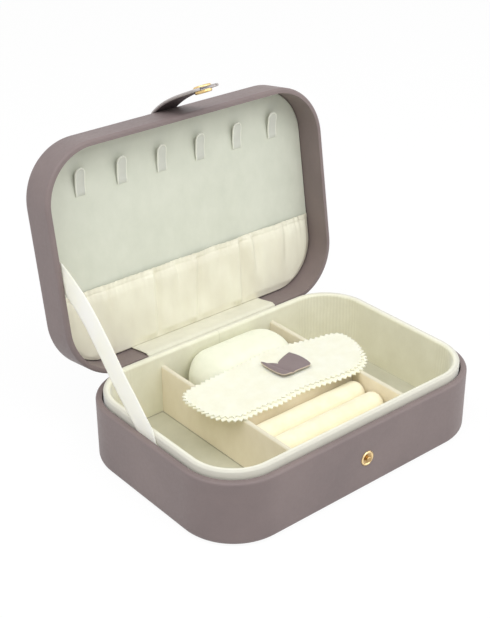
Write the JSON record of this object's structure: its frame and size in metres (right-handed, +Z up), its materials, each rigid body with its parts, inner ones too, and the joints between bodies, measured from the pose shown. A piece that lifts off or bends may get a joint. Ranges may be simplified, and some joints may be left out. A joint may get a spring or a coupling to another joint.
{
  "type": "travel jewelry case",
  "caption": "Hinged travel jewelry case, lid open on a ribbon stay, with divided lined base, ring rolls, necklace hooks, lid pocket, snap strap, pillow and felt pouch.",
  "frame": {"origin": "centre of the base's plan, on the flat underside it rests on", "axes": "+X along the length of the base, to the right as seen from the front; -Y is the front with the snap; +Z up. The lid stands open at the back."},
  "size_m": [0.2, 0.1809, 0.198],
  "materials": {
    "leatherette": "matt taupe leatherette with a fine grain",
    "greyboard": "grey board core",
    "suede_ivory": "brushed ivory suede cloth",
    "velvet_sage": "pale grey-green velvet",
    "satin_cream": "cream satin",
    "ribbon_white": "white satin ribbon",
    "felt_ivory": "soft ivory felt",
    "roll_cream": "cream velour over foam",
    "tab_leather": "matt taupe leather",
    "brass": "polished gold-coloured brass",
    "hinge_steel": "plated steel hinge"
  },
  "bodies": {
    "base_body": {"base_board": "greyboard", "base_wrap": "leatherette", "base_bottom_panel": "leatherette", "collar_board": "greyboard", "collar_lining": "suede_ivory", "floor_pad_left": "suede_ivory", "floor_pad_right": "suede_ivory", "floor_pad_rear": "suede_ivory", "left_divider": "suede_ivory", "right_divider": "suede_ivory", "cross_divider": "suede_ivory", "ring_roll_bed": "roll_cream", "ring_roll_rear": "roll_cream", "ring_roll_middle": "roll_cream", "ring_roll_front": "roll_cream", "snap_stud": "brass", "snap_stud_washer": "brass", "hinge_base_leaf": "hinge_steel", "hinge_base_screws": "hinge_steel", "hinge_pin": "hinge_steel", "hinge_strip_fold": "velvet_sage", "ribbon_stay": "ribbon_white", "cushion": "felt_ivory", "pouch_back": "felt_ivory", "pouch_flap": "felt_ivory", "pouch_tab": "tab_leather"},
    "lid_body": {"lid_board": "greyboard", "lid_wrap": "leatherette", "lid_panel": "velvet_sage", "lid_panel_pad": "greyboard", "pocket_front": "satin_cream", "pocket_hem": "satin_cream", "necklace_hook_1": "suede_ivory", "necklace_hook_2": "suede_ivory", "necklace_hook_3": "suede_ivory", "necklace_hook_4": "suede_ivory", "necklace_hook_5": "suede_ivory", "necklace_hook_6": "suede_ivory", "hinge_lid_leaf": "hinge_steel", "hinge_lid_screws": "hinge_steel", "hinge_strip_lid": "velvet_sage", "strap_anchor": "leatherette"},
    "strap_near": {"strap_root": "leatherette"},
    "strap_far": {"strap_end": "leatherette", "snap_cap": "brass", "snap_socket": "brass"}
  },
  "joints": [
    {"name": "lid_hinge", "type": "hinge", "parent": "base_body", "child": "lid_body", "pos_m": [0, 0.0667, 0.0423], "axis": [1, 0, 0], "range_deg": [0, 98.7], "deforming": ["ribbon_stay", "hinge_strip_fold"]},
    {"name": "strap_swing", "type": "hinge", "parent": "lid_body", "child": "strap_near", "pos_m": [0, 0.1055, 0.17447], "axis": [1, 0, 0], "range_deg": [-90, 27]},
    {"name": "strap_bend", "type": "hinge", "parent": "strap_near", "child": "strap_far", "pos_m": [0, 0.09461, 0.18327], "axis": [1, 0, 0], "range_deg": [-14, 46.67]}
  ],
  "couplings": [
    {"joint": "strap_bend", "follows": "strap_swing", "ratio": -0.51852}
  ]
}
